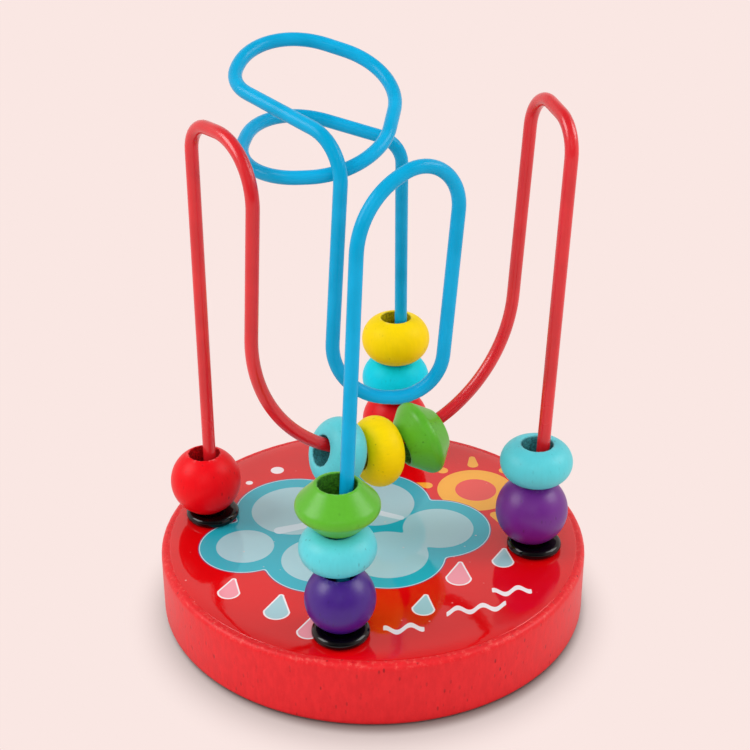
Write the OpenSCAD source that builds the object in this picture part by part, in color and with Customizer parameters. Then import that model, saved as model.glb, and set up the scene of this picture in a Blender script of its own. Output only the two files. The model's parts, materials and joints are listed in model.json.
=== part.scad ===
// Bead maze: a round wooden base carries two bent steel wires, and wooden beads ride on them.
// Sizes are in millimetres. +Z is up and the origin is under the base, on its upright axis.
// Front is -Y. Heights of the wires are counted from the top of the base.

/* [Base] */
// Diameter of the round base
base_d = 90; // [84:0.5:110]
// Height of the base
base_h = 14.5; // [11:0.5:20]
// Rounding of the base's upper and lower edges
base_edge_r = 1.2; // [0.4:0.1:3]
// Thickness of the printed film on top of the base
film_t = 0.2; // [0.1:0.05:0.5]
// Bare margin between the base's rounded edge and the film
film_margin = 0.6; // [0.2:0.1:4]

/* [Wire and feet] */
// Diameter of both wires
wire_d = 2.7; // [2:0.1:3.4]
// Depth to which the wire ends are set into the base
wire_set = 8.5; // [5:0.5:10]
// Distance of the front foot and the back foot from the base's edge
front_foot = 9; // [8:0.2:14]
// Distance of the left foot from the base's edge
left_foot = 9.4; // [9:0.2:12]
// Distance of the right foot from the base's edge
right_foot = 10.8; // [9:0.2:12]
// How far the left and right feet lie towards the back
side_foot_back = 0.8; // [0:0.2:4]

/* [Washers] */
// Diameter of the round-edged washers
washer_d = 11.5; // [10.5:0.1:13]
// Thickness of the washers
washer_t = 2; // [1.6:0.1:3]

/* [Beads] */
// Diameter of the ball beads
ball_d = 15; // [13:0.2:16]
// Diameter of the smaller ball at the front
small_ball_d = 13.8; // [13:0.2:16]
// Bore of the ball beads
ball_bore = 6.5; // [5.8:0.1:7]
// Diameter of the ring beads
ring_d = 15; // [14:0.2:16]
// Height of the ring beads on the right leg and in the valley
ring_h = 8.3; // [7:0.1:9]
// Height of the flatter ring bead on the front leg
front_ring_h = 7.8; // [7:0.1:9]
// Height of the taller ring beads on the back leg
back_ring_h = 10.4; // [9.4:0.1:11]
// Bore of the ring beads
ring_bore = 6.4; // [5.8:0.1:7]
// Diameter of the double-cone beads
cone_d = 16.3; // [15:0.1:17]
// Height of the double-cone beads
cone_h = 9.4; // [8.6:0.1:10.4]
// Bore of the double-cone beads
cone_bore = 7.5; // [6.6:0.1:8]
// Rounding of the double cone's widest edge
cone_edge_r = 1.8; // [1:0.1:2.4]
// Flat lip round the double cone's bore
cone_lip = 0.6; // [0.3:0.1:1]
// Turn of the middle bead along the valley, in degrees from its lowest point
valley_swing = -4.5; // [-6:0.5:6]

/* [Red wire valley] */
// Bend radius of the valley
valley_r = 30; // [28:0.5:31]
// Height of the valley's lowest point above the base
valley_low = 20.7; // [18:0.1:26]
// Turn of the valley in plan, in degrees from +X
valley_turn = 38.5; // [34:0.5:42]
// Middle of the valley in plan, along X
valley_x = 2.5; // [0:0.5:4]
// Middle of the valley in plan, along Y
valley_y = 3.5; // [1:0.5:5]
// Outward lean of the valley's left leg, in degrees
left_lean = -3; // [-4:0.5:1]
// Outward lean of the valley's right leg, in degrees
right_lean = 3.5; // [0:0.5:4]

/* [Red wire hairpins] */
// Height of the left hairpin's outer corner
left_out_h = 89.3; // [80:0.5:96]
// Bend radius at the left hairpin's outer corner
left_out_bend = 6; // [4:0.5:8]
// Height of the left hairpin's inner corner
left_in_h = 90; // [82:0.5:96]
// Bend radius at the left hairpin's inner corner
left_in_bend = 12; // [8:0.5:13]
// Height of the right hairpin's inner corner
right_in_h = 93; // [84:0.5:97]
// Bend radius at the right hairpin's inner corner
right_in_bend = 7; // [5:0.5:8]
// Place of the right hairpin's outer corner along X
right_out_x = 37; // [34:0.5:38]
// Place of the right hairpin's outer corner along Y
right_out_y = 7.2; // [4:0.2:9]
// Height of the right hairpin's outer corner
right_out_h = 90; // [84:0.5:96]
// Bend radius at the right hairpin's outer corner
right_out_bend = 7.5; // [5:0.5:8]

/* [Blue wire hairpin] */
// Place of the hairpin's front corner along X
front_peak_x = 1.5; // [0:0.5:4]
// Place of the hairpin's front corner along Y
front_peak_y = -23; // [-26:0.5:-20]
// Height of the hairpin's front corner
front_peak_h = 83.5; // [76:0.5:90]
// Bend radius at the hairpin's front corner
front_peak_bend = 15.5; // [10:0.5:17]
// Place of the hairpin's right corner along X
right_peak_x = 18.5; // [16:0.5:21]
// Place of the hairpin's right corner along Y
right_peak_y = -7; // [-9:0.5:-5]
// Height of the hairpin's right corner
right_peak_h = 93.5; // [86:0.5:98]
// Bend radius at the hairpin's right corner
right_peak_bend = 9; // [6:0.5:10]

/* [Blue wire dip] */
// Height of the dip's lowest run
dip_h = 41; // [38:0.5:46]
// Place of the dip's right corner along X
dip_right_x = 15; // [13:0.5:18]
// Place of the dip's right corner along Y
dip_right_y = -11.5; // [-13:0.5:-9]
// Bend radius at the dip's right corner
dip_right_bend = 9.5; // [6:0.5:10]
// Place of the dip's left corner along X
dip_left_x = -5.5; // [-8:0.5:-4]
// Place of the dip's left corner along Y
dip_left_y = -16.5; // [-18:0.5:-14]
// Bend radius at the dip's left corner
dip_left_bend = 11; // [7:0.5:12]

/* [Blue wire loop] */
// Place along X where the wire turns from the dip into the loop
rise_x = -3; // [-6:0.5:0]
// Place along Y where the wire turns from the dip into the loop
rise_y = -14; // [-16:0.5:-12]
// Height at which the wire turns from the dip into the loop
rise_h = 91.5; // [86:0.5:95]
// Bend radius where the wire turns into the loop
rise_bend = 9; // [6:0.5:11]
// Place of the loop's first corner along X
entry_x = -28; // [-29:0.5:-26]
// Place of the loop's first corner along Y
entry_y = 2.5; // [0:0.5:5]
// Height of the loop's first corner
entry_h = 96.5; // [92:0.5:100]
// Bend radius at the loop's first corner
entry_bend = 9; // [6:0.5:10]
// Radius of the loop
loop_r = 14.5; // [13:0.5:15]
// Middle of the loop along X
loop_x = -12; // [-14:0.5:-10]
// Middle of the loop along Y
loop_y = 6.5; // [5:0.5:8]
// Height of the loop's first corner at the back left
loop_top_h = 103.5; // [100:0.5:107]
// Fall of the loop along its back, down to the back right
loop_back_fall = 8; // [6:0.5:10]
// Fall of the loop along its right side, down to the front right
loop_right_fall = 11.5; // [9:0.5:13]
// Fall of the loop along its front, down to the front left
loop_front_fall = 3; // [1:0.5:5]
// Rise of the loop's second turn along its left side
loop_left_rise = 6.5; // [4:0.5:8]
// Place of the back leg's upper corner along X
back_peak_x = 2; // [0:0.5:4]
// Place of the back leg's upper corner along Y
back_peak_y = 22.5; // [21:0.5:26]
// Height of the back leg's upper corner
back_peak_h = 80; // [74:0.5:84]
// Bend radius at the back leg's upper corner
back_peak_bend = 6; // [4:0.5:8]

/* [Clearances] */
// Gap between beads, and between a bead and the wire or washer that carries it
bead_gap = 0.2; // [0.1:0.05:0.4]
// Gap all round a wire end in its hole in the base
glue_gap = 0.05; // [0.02:0.01:0.1]
// Gap all round a wire in its washer and in the film
washer_gap = 0.15; // [0.05:0.05:0.4]

/* [Hidden] */
$fn = 72;
// How far cuts run past the faces that they open
overrun = 1;
// Shortest straight run between two bends, and how far the runs are tucked into the bends
least_run = 0.6;
run_tuck = 0.2;
// How much thicker a bend is than the runs that end in it
bend_swell = 0.02;
// Bend radius of the loop as a share of its radius
loop_bend_share = 0.95;
// How beads lean on their wires at rest, as shares of their play in X and in Y
bead_lean_shares = [-0.6, 0];
front_ball_lean_shares = [-0.13, -0.36];
front_ring_lean_shares = [-0.65, -0.16];
front_cone_lean_shares = [-0.6, -0.31];
// How far out in the double cone's round edge its flanks end
cone_touch_share = 0.97;
// Colours
wood_red = [0.86, 0.13, 0.15];
wire_red = [0.80, 0.14, 0.17];
wire_blue = [0.00, 0.60, 0.80];
bead_red = [0.86, 0.12, 0.14];
bead_purple = [0.38, 0.16, 0.52];
bead_teal = [0.36, 0.79, 0.85];
bead_green = [0.42, 0.74, 0.25];
bead_yellow = [0.96, 0.84, 0.05];
print_teal = [0.25, 0.70, 0.76];
gloss_black = [0.04, 0.04, 0.05];

function unit(v) = v / norm(v);
function above(x, y, h) = [x, y, base_h + h];
function total(list, count) = count == 0 ? 0 : list[count - 1] + total(list, count - 1);

// Red wire: corners of the path, from the left foot to the right foot
valley_way = [cos(valley_turn), sin(valley_turn), 0];
valley_left_t = -valley_r * tan(45 - left_lean / 2);
valley_right_t = valley_r * tan(45 - right_lean / 2);
function in_valley(t, h) = above(valley_x, valley_y, h) + t * valley_way;
left_foot_at = above(left_foot - base_d / 2, side_foot_back, 0);
right_foot_at = above(base_d / 2 - right_foot, side_foot_back, 0);
left_peak = left_foot_at + [0, 0, left_out_h];
right_peak = above(right_out_x, right_out_y, right_out_h);
left_in_t = valley_left_t - (left_in_h - valley_low) * tan(left_lean);
right_in_t = valley_right_t + (right_in_h - valley_low) * tan(right_lean);
red_corners = [set_end(left_foot_at, left_peak), left_peak, in_valley(left_in_t, left_in_h),
               in_valley(valley_left_t, valley_low), in_valley(valley_right_t, valley_low),
               in_valley(right_in_t, right_in_h), right_peak, set_end(right_foot_at, right_peak)];
red_bends = [0, left_out_bend, left_in_bend, valley_r, valley_r, right_in_bend, right_out_bend, 0];

// Blue wire: corners of the path, from the front foot through the dip and the loop to the back foot.
// The loop is a rounded square helix: it falls round the back, right and front, then rises on the left
front_foot_at = above(0, front_foot - base_d / 2, 0);
back_foot_at = above(0, base_d / 2 - front_foot, 0);
front_peak = above(front_peak_x, front_peak_y, front_peak_h);
back_peak = above(back_peak_x, back_peak_y, back_peak_h);
loop_right_h = loop_top_h - loop_back_fall;
loop_front_h = loop_right_h - loop_right_fall;
loop_low_h = loop_front_h - loop_front_fall;
function loop_corner(side, way, h) = above(loop_x + side * loop_r, loop_y + way * loop_r, h);
blue_corners = [set_end(front_foot_at, front_peak), front_peak,
                above(right_peak_x, right_peak_y, right_peak_h),
                above(dip_right_x, dip_right_y, dip_h), above(dip_left_x, dip_left_y, dip_h),
                above(rise_x, rise_y, rise_h), above(entry_x, entry_y, entry_h),
                loop_corner(-1, 1, loop_top_h), loop_corner(1, 1, loop_right_h),
                loop_corner(1, -1, loop_front_h), loop_corner(-1, -1, loop_low_h),
                loop_corner(-1, 1, loop_low_h + loop_left_rise),
                back_peak, set_end(back_foot_at, back_peak)];
loop_bend = loop_bend_share * loop_r;
blue_bends = [0, front_peak_bend, right_peak_bend, dip_right_bend, dip_left_bend, rise_bend, entry_bend,
              loop_bend, loop_bend, loop_bend, loop_bend, loop_bend, back_peak_bend, 0];

// The four legs as pairs of foot and upper corner
legs = [[left_foot_at, left_peak], [right_foot_at, right_peak],
        [front_foot_at, front_peak], [back_foot_at, back_peak]];

// The point of a straight leg at a given height, and the leg's end down in its hole
function on_leg(foot, peak, z) = foot + (peak - foot) * (z - foot[2]) / (peak[2] - foot[2]);
function set_end(foot, peak) = on_leg(foot, peak, base_h - wire_set);

// Bends of a path: the turn at each corner, and how far from the corner the bend starts and ends.
// Where two bends and the shortest run don't fit between two corners, both bends give way alike
function turn_at(c, i) = acos(unit(c[i] - c[i - 1]) * unit(c[i + 1] - c[i]));
function full_reach(c, r) = [for (i = [0 : len(c) - 1])
    r[i] == 0 ? 0 : r[i] * tan(turn_at(c, i) / 2)];
function run_ease(c, f, i) = f[i] + f[i + 1] == 0 ? 1 :
    min(1, (norm(c[i + 1] - c[i]) - least_run) / (f[i] + f[i + 1]));
function eased_reach(c, f) = [for (i = [0 : len(c) - 1])
    f[i] == 0 ? 0 : f[i] * min(run_ease(c, f, i - 1), run_ease(c, f, i))];

// Diameter of the film
film_d = base_d - 2 * (base_edge_r + film_margin);

// Heights of the bead sorts along their bores
ball_h = sqrt(ball_d * ball_d - ball_bore * ball_bore);
small_ball_h = sqrt(small_ball_d * small_ball_d - ball_bore * ball_bore);
// A ring's round flank is one arc from bore edge to bore edge, which on a low ring bulges past both edges
ring_wall = (ring_d - ring_bore) / 2;
function ring_arc_r(h) = h < 2 * ring_wall ? h / 2 : (ring_wall * ring_wall + h * h / 4) / (2 * ring_wall);
function ring_arc_x(h) = ring_d / 2 - ring_arc_r(h);

// Beads stacked on a leg: the middle height of each bead, counted from the washer up
stack_floor = base_h + film_t + washer_t;
function stack_z(heights, i) = stack_floor + total(heights, i) + (i + 1) * bead_gap + heights[i] / 2;
front_stack = [small_ball_h, front_ring_h, cone_h];
back_stack = [ball_h, back_ring_h, back_ring_h];
right_stack = [ball_h, ring_h];

// Beads hanging in the valley: how far their bores drop under the curved wire, and how much of the
// valley's turn each takes up to either side
valley_centre = in_valley(0, valley_low + valley_r);
function wire_sag(h) = valley_r - sqrt(valley_r * valley_r - h * h / 4);
ring_drop = (ring_bore - wire_d) / 2 - bead_gap - wire_sag(ring_h);
cone_drop = (cone_bore - wire_d) / 2 - bead_gap - wire_sag(cone_h);
ring_half_turn = asin(ring_arc_r(ring_h) / (valley_r + ring_drop - ring_arc_x(ring_h)));
cone_half_turn = atan(cone_h / 2 / (valley_r + cone_drop - cone_bore / 2 - cone_lip));
gap_turn = asin(bead_gap / (valley_r - ring_d / 2));
teal_swing = valley_swing - 2 * ring_half_turn - gap_turn;
green_swing = valley_swing + ring_half_turn + cone_half_turn + gap_turn;

// Moves and turns the children so that +X and +Y lie along the given directions
module placed(at, x_way, y_way) {
    z_way = cross(x_way, y_way);
    multmatrix([[x_way[0], y_way[0], z_way[0], at[0]],
                [x_way[1], y_way[1], z_way[1], at[1]],
                [x_way[2], y_way[2], z_way[2], at[2]]]) children();
}

// A straight rod between two points
module rod(from, to, d) {
    way = unit(to - from);
    side = unit(cross(way, abs(way[2]) > abs(way[0]) ? [1, 0, 0] : [0, 0, 1]));
    placed(from, side, cross(way, side)) cylinder(d = d, h = norm(to - from));
}

// One bend of a path, turning from the direction way_in to the direction way_out
module bend(corner, way_in, way_out, reach, d) {
    turn = acos(way_in * way_out);
    radius = reach / tan(turn / 2);
    inward = unit(cross(cross(way_in, way_out), way_in));
    placed(corner - reach * way_in + radius * inward, -inward, way_in)
        rotate_extrude(angle = turn) translate([radius, 0]) circle(d = d);
}

// A wire along corners: straight runs, with their ends tucked into bends that are a hair thicker
module bent_wire(corners, radii, d) {
    reach = eased_reach(corners, full_reach(corners, radii));
    last = len(corners) - 1;
    for (i = [0 : last - 1]) {
        way = unit(corners[i + 1] - corners[i]);
        start = reach[i] == 0 ? 0 : reach[i] - run_tuck;
        end = reach[i + 1] == 0 ? 0 : reach[i + 1] - run_tuck;
        rod(corners[i] + start * way, corners[i + 1] - end * way, d);
    }
    for (i = [1 : last - 1])
        bend(corners[i], unit(corners[i] - corners[i - 1]), unit(corners[i + 1] - corners[i]),
             reach[i], d + bend_swell);
}

// Holes that follow the legs from their ends in the base up past the washers
module leg_holes(gap) {
    for (leg = legs)
        rod(set_end(leg[0], leg[1]), on_leg(leg[0], leg[1], stack_floor + overrun), wire_d + 2 * gap);
}

module base() {
    color(wood_red) difference() {
        rotate_extrude() {
            square([base_d / 2 - base_edge_r, base_h]);
            translate([0, base_edge_r]) square([base_d / 2, base_h - 2 * base_edge_r]);
            for (y = [base_edge_r, base_h - base_edge_r])
                translate([base_d / 2 - base_edge_r, y]) circle(r = base_edge_r);
        }
        leg_holes(glue_gap);
    }
}

module printed_film() {
    color(print_teal) difference() {
        translate([0, 0, base_h]) cylinder(d = film_d, h = film_t);
        leg_holes(washer_gap);
    }
}

module red_wire() {
    color(wire_red) bent_wire(red_corners, red_bends, wire_d);
}

module blue_wire() {
    color(wire_blue) bent_wire(blue_corners, blue_bends, wire_d);
}

// A flat washer with a fully round rim
module washer(leg) {
    middle = on_leg(leg[0], leg[1], base_h + film_t + washer_t / 2);
    color(gloss_black) difference() {
        translate([middle[0], middle[1], base_h + film_t]) rotate_extrude() {
            square([(washer_d - washer_t) / 2, washer_t]);
            translate([(washer_d - washer_t) / 2, washer_t / 2]) intersection() {
                circle(d = washer_t);
                translate([0, -washer_t]) square(2 * washer_t);
            }
        }
        leg_holes(washer_gap);
    }
}

module washer_left() {
    washer(legs[0]);
}

module washer_right() {
    washer(legs[1]);
}

module washer_front() {
    washer(legs[2]);
}

module washer_back() {
    washer(legs[3]);
}

// A bead's bore along its axis
module bore(d, h) {
    cylinder(d = d, h = h + 2 * overrun, center = true);
}

module ball(d) {
    difference() {
        sphere(d = d);
        bore(ball_bore, d);
    }
}

module ring(h) {
    rotate_extrude() intersection() {
        translate([ring_arc_x(h), 0]) circle(r = ring_arc_r(h));
        translate([ring_bore / 2, -h]) square([ring_wall + overrun, 2 * h]);
    }
}

// The double cone's flank runs from its lip and ends a hair inside the round widest edge
module cone() {
    edge_x = cone_d / 2 - cone_edge_r;
    lip_x = cone_bore / 2 + cone_lip;
    slope = atan2(cone_h / 2, lip_x - edge_x);
    touch = slope - acos(cone_edge_r / norm([lip_x - edge_x, cone_h / 2]));
    touch_x = edge_x + cone_touch_share * cone_edge_r * cos(touch);
    touch_y = cone_touch_share * cone_edge_r * sin(touch);
    rotate_extrude() {
        polygon([[cone_bore / 2, -cone_h / 2], [lip_x, -cone_h / 2], [touch_x, -touch_y], [edge_x, 0],
                 [touch_x, touch_y], [lip_x, cone_h / 2], [cone_bore / 2, cone_h / 2]]);
        translate([edge_x, 0]) circle(r = cone_edge_r);
    }
}

// A bead upright on a leg: its bore leans on the wire by a share of its play in X and in Y
module on_stack(leg, z, bore_d, lean_shares = bead_lean_shares) {
    play = (bore_d - wire_d) / 2;
    translate(on_leg(leg[0], leg[1], z) + play * [lean_shares[0], lean_shares[1], 0]) children();
}

// A bead hanging in the valley, with its bore along the wire
module hung(swing, drop) {
    translate(valley_centre) rotate([0, -swing, valley_turn])
        translate([0, 0, -valley_r - drop]) rotate([0, 90, 0]) children();
}

module ball_left_red() {
    color(bead_red) on_stack(legs[0], stack_z([ball_h], 0), ball_bore) ball(ball_d);
}

module ball_right_purple() {
    color(bead_purple) on_stack(legs[1], stack_z(right_stack, 0), ball_bore) ball(ball_d);
}

module ring_right_teal() {
    color(bead_teal) on_stack(legs[1], stack_z(right_stack, 1), ring_bore) ring(ring_h);
}

module ball_front_purple() {
    color(bead_purple) on_stack(legs[2], stack_z(front_stack, 0), ball_bore, front_ball_lean_shares)
        ball(small_ball_d);
}

module ring_front_teal() {
    color(bead_teal) on_stack(legs[2], stack_z(front_stack, 1), ring_bore, front_ring_lean_shares)
        ring(front_ring_h);
}

module cone_front_green() {
    color(bead_green) on_stack(legs[2], stack_z(front_stack, 2), cone_bore, front_cone_lean_shares)
        cone();
}

module ball_back_red() {
    color(bead_red) on_stack(legs[3], stack_z(back_stack, 0), ball_bore) ball(ball_d);
}

module ring_back_teal() {
    color(bead_teal) on_stack(legs[3], stack_z(back_stack, 1), ring_bore) ring(back_ring_h);
}

module ring_back_yellow() {
    color(bead_yellow) on_stack(legs[3], stack_z(back_stack, 2), ring_bore) ring(back_ring_h);
}

module ring_valley_teal() {
    color(bead_teal) hung(teal_swing, ring_drop) ring(ring_h);
}

module ring_valley_yellow() {
    color(bead_yellow) hung(valley_swing, ring_drop) ring(ring_h);
}

module cone_valley_green() {
    color(bead_green) hung(green_swing, cone_drop) cone();
}

base();
printed_film();
red_wire();
blue_wire();
washer_left();
washer_right();
washer_front();
washer_back();
ball_left_red();
ball_right_purple();
ring_right_teal();
ball_front_purple();
ring_front_teal();
cone_front_green();
ball_back_red();
ring_back_teal();
ring_back_yellow();
ring_valley_teal();
ring_valley_yellow();
cone_valley_green();
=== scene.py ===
"""Bead maze: a red wooden base, a glossy print, two lacquered wires and turned wooden beads."""
import json
import math

import bpy
import numpy as np
from mathutils import Matrix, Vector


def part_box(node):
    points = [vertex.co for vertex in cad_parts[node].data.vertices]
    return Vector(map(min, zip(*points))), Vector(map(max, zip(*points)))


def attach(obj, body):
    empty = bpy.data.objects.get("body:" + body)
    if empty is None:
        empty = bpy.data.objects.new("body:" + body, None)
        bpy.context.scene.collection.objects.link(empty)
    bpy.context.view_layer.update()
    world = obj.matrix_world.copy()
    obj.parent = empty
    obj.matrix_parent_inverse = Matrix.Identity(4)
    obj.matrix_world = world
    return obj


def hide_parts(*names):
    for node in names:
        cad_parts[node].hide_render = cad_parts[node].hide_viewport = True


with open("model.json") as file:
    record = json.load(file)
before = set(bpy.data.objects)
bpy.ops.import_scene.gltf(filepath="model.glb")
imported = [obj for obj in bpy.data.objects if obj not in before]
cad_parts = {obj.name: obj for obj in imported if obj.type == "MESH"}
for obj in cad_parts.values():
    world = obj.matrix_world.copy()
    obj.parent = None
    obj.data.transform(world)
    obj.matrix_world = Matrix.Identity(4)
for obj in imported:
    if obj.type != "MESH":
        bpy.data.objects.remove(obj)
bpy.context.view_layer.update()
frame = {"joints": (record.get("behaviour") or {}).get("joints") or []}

MM = 0.001
VIEW_TURN = math.radians(10.0)

# Sizes of the real pieces in millimetres, as the frame has them
BASE_D, BASE_H, BASE_EDGE = 90.0, 14.5, 1.2
FILM_D, FILM_T = 86.4, 0.2
WIRE_D, WIRE_SET = 2.7, 8.5
WASHER_D, WASHER_T, WASHER_HOLE = 11.5, 2.0, 3.0
RING_D, RING_H, FRONT_RING_H, BACK_RING_H, RING_BORE = 15.0, 8.3, 7.8, 10.4, 6.4
CONE_D, CONE_H, CONE_BORE, CONE_EDGE, CONE_LIP = 16.3, 9.4, 7.5, 1.8, 0.6
BALL_D, SMALL_BALL_D, BALL_BORE = 15.0, 13.8, 6.5

# Points along a bead's flank, its bore and each round between them
FLANK_POINTS, BORE_POINTS, ROUND_POINTS = 64, 18, 5
# Points round each turned or swept piece
BASE_SEGMENTS, FILM_SEGMENTS, BEAD_SEGMENTS, WASHER_SEGMENTS, WIRE_SEGMENTS = 288, 240, 144, 96, 28


def srgb(r, g, b):
    """A colour as a painter's card gives it, 0 to 255, in the linear light that shaders use."""
    c = np.array([r, g, b]) / 255.0
    linear = np.where(c <= 0.04045, c / 12.92, ((c + 0.055) / 1.055) ** 2.4)
    return (*[float(v) for v in linear], 1.0)


RED_PRINT = srgb(222, 4, 10)
RED_PAINT = srgb(226, 24, 32)
RED_LACQUER = srgb(214, 18, 28)
BLUE_LACQUER = srgb(0, 164, 212)
BEAD_RED = srgb(236, 0, 16)
BEAD_PURPLE = srgb(60, 10, 126)
BEAD_VIOLET = srgb(104, 22, 132)
BEAD_TEAL = srgb(88, 208, 218)
BEAD_DEEP_TEAL = srgb(0, 214, 240)
BEAD_GREEN = srgb(92, 180, 40)
BEAD_YELLOW = srgb(255, 220, 0)
CLOUD_TEAL = srgb(38, 172, 190)
CLOUD_PALE = srgb(164, 204, 212)
CLOUD_RIM = srgb(120, 60, 110)
CLOUD_LINE = srgb(200, 222, 230)
CLOUD_GLINT = srgb(206, 224, 232)
SUN_ORANGE = srgb(246, 172, 52)
SUN_CORAL = srgb(232, 78, 72)
DROP_PINK = srgb(242, 150, 164)
CHALK = srgb(246, 236, 238)
BACKDROP = srgb(250, 231, 227)


# Meshes from whole arrays

def lay_mesh(name, points, faces, corner_uv, marks):
    """One smooth mesh object at the origin: points in millimetres, face index arrays of 3 or 4 columns,
    a UV pair for each face corner, and point attributes by name."""
    mesh = bpy.data.meshes.new(name)
    points = np.ascontiguousarray(points.reshape(-1, 3) * MM, dtype=np.float32)
    corners = np.concatenate([f.ravel() for f in faces]).astype(np.int32)
    counts = np.concatenate([np.full(len(f), f.shape[1]) for f in faces]).astype(np.int32)
    mesh.vertices.add(len(points))
    mesh.vertices.foreach_set("co", points.ravel())
    mesh.loops.add(len(corners))
    mesh.loops.foreach_set("vertex_index", corners)
    mesh.polygons.add(len(counts))
    mesh.polygons.foreach_set("loop_start", np.concatenate([[0], np.cumsum(counts)[:-1]]).astype(np.int32))
    mesh.update(calc_edges=True)
    mesh.uv_layers.new(name="UVMap").data.foreach_set("uv", corner_uv.astype(np.float32).ravel())
    for label, values in marks.items():
        kind = "FLOAT_VECTOR" if values.ndim == 2 else "FLOAT"
        layer = mesh.attributes.new(label, kind, "POINT")
        layer.data.foreach_set("vector" if values.ndim == 2 else "value", values.astype(np.float32).ravel())
    mesh.shade_smooth()
    mesh.validate()
    piece = bpy.data.objects.new(name, mesh)
    bpy.context.scene.collection.objects.link(piece)
    return piece


def skin(name, grid, along, around, ring, ends=None, marks=None):
    """A surface from a grid of points: row i is one station along it and column j one angle round it.
    Columns always close. Rows close too where ring is true; otherwise ends holds the two points that close
    its poles. The UVs are the distance along and the distance round, both in millimetres."""
    rows, cols = grid.shape[:2]
    i, j = np.meshgrid(np.arange(rows if ring else rows - 1), np.arange(cols), indexing="ij")
    i, j = i.ravel(), j.ravel()
    row = np.stack([i, i, i + 1, i + 1], 1)
    col = np.stack([j, j + 1, j + 1, j], 1)
    faces = [(row % rows) * cols + col % cols]
    along = np.append(along, along[-1] + (along[-1] - along[-2])) if ring else along
    uv = [np.stack([along[row], col * around / cols], -1).reshape(-1, 2)]
    points = grid.reshape(-1, 3)
    marks = {k: v.reshape((rows * cols,) + v.shape[2:]) for k, v in (marks or {}).items()}
    if ends is not None:
        n = np.arange(cols)
        last = (rows - 1) * cols
        pole = rows * cols
        faces.append(np.stack([np.full(cols, pole), (n + 1) % cols, n], 1))
        faces.append(np.stack([last + n, last + (n + 1) % cols, np.full(cols, pole + 1)], 1))
        step = around / cols
        side = n * step
        across = [side, side + step, side + step / 2]
        for end, order in ((along[0], (2, 1, 0)), (along[-1], (0, 1, 2))):
            corners = [np.stack([np.full(cols, end), across[k]], 1) for k in order]
            uv.append(np.stack(corners, 1).reshape(-1, 2))
        points = np.concatenate([points, np.array(ends)])
        marks = {k: np.concatenate([v, v[[0, -1]]]) for k, v in marks.items()}
    return lay_mesh(name, points, faces, np.concatenate(uv), marks)


def run_lengths(profile):
    """Distance along a polyline at each of its points."""
    return np.concatenate([[0.0], np.cumsum(np.linalg.norm(np.diff(profile, axis=0), axis=1))])


def spaced(profile, first, last, count):
    """A polyline's points at even distances from first to last along it."""
    s = run_lengths(profile)
    t = np.linspace(first, s[-1] - last, count)
    return np.stack([np.interp(t, s, profile[:, k]) for k in range(profile.shape[1])], 1)


def rounded_corner(before, corner, after, count):
    """The curve (1-t)^2 before + 2t(1-t) corner + t^2 after, without its two ends."""
    t = np.linspace(0, 1, count + 2)[1:-1, None]
    return (1 - t) ** 2 * before + 2 * t * (1 - t) * corner + t ** 2 * after


def ripple(angle, height, seed, waves):
    """A gentle unevenness between about -1 and 1: a sum of sines of the angle and the height, with phases
    that the seed fixes."""
    pick = np.random.default_rng(seed)
    total = 0.0
    for k in range(waves):
        phase = pick.uniform(-0.5, 0.5) * height + pick.uniform(0, 6.28)
        total = total + np.sin((k + 2) * angle + phase) / (k + 1.5)
    return total / 1.6


# Turned pieces

def bead_profile(flank, rim):
    """A bead's closed profile: the flank from its lower bore edge to its upper one, a small round over each
    edge, and the straight bore back down. Also a mark that is 1 in the bore and one that is 1 on the rounds
    and fades along the profile as exp(-(steps / 2.2)^2)."""
    low, top = flank[0], flank[-1]
    side = spaced(flank, rim, rim, FLANK_POINTS)
    bore = np.stack([np.full(BORE_POINTS, low[0]), np.linspace(top[1] - rim, low[1] + rim, BORE_POINTS)], 1)
    over = rounded_corner(side[-1], top, bore[0], ROUND_POINTS)
    under = rounded_corner(bore[-1], low, side[0], ROUND_POINTS)
    profile = np.concatenate([side, over, bore, under])
    into = np.linspace(0.1, 0.9, ROUND_POINTS)
    in_bore = np.concatenate([np.zeros(FLANK_POINTS), into, np.ones(BORE_POINTS), into[::-1]])
    edge = np.ones(ROUND_POINTS)
    on_edge = np.concatenate([np.zeros(FLANK_POINTS), edge, np.zeros(BORE_POINTS), edge])
    reach = np.abs(np.arange(len(profile))[:, None] - np.flatnonzero(on_edge)[None, :]).min(1)
    return profile, in_bore, np.exp(-(reach / 2.2) ** 2)


def ball_flank(d, bore):
    """The arc of a circle of diameter d between the two heights where it meets the bore."""
    t = np.linspace(-math.acos(bore / d), math.acos(bore / d), 161)
    return np.stack([d / 2 * np.cos(t), d / 2 * np.sin(t)], 1)


def ring_flank(h):
    """One arc from bore edge to bore edge, as wide as the ring at half height. On a low ring it bulges past
    both edges."""
    wall = (RING_D - RING_BORE) / 2
    r = h / 2 if h < 2 * wall else (wall * wall + h * h / 4) / (2 * wall)
    t = math.acos((r - wall) / r)
    a = np.linspace(-t, t, 161)
    return np.stack([RING_D / 2 - r + r * np.cos(a), r * np.sin(a)], 1)


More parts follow.
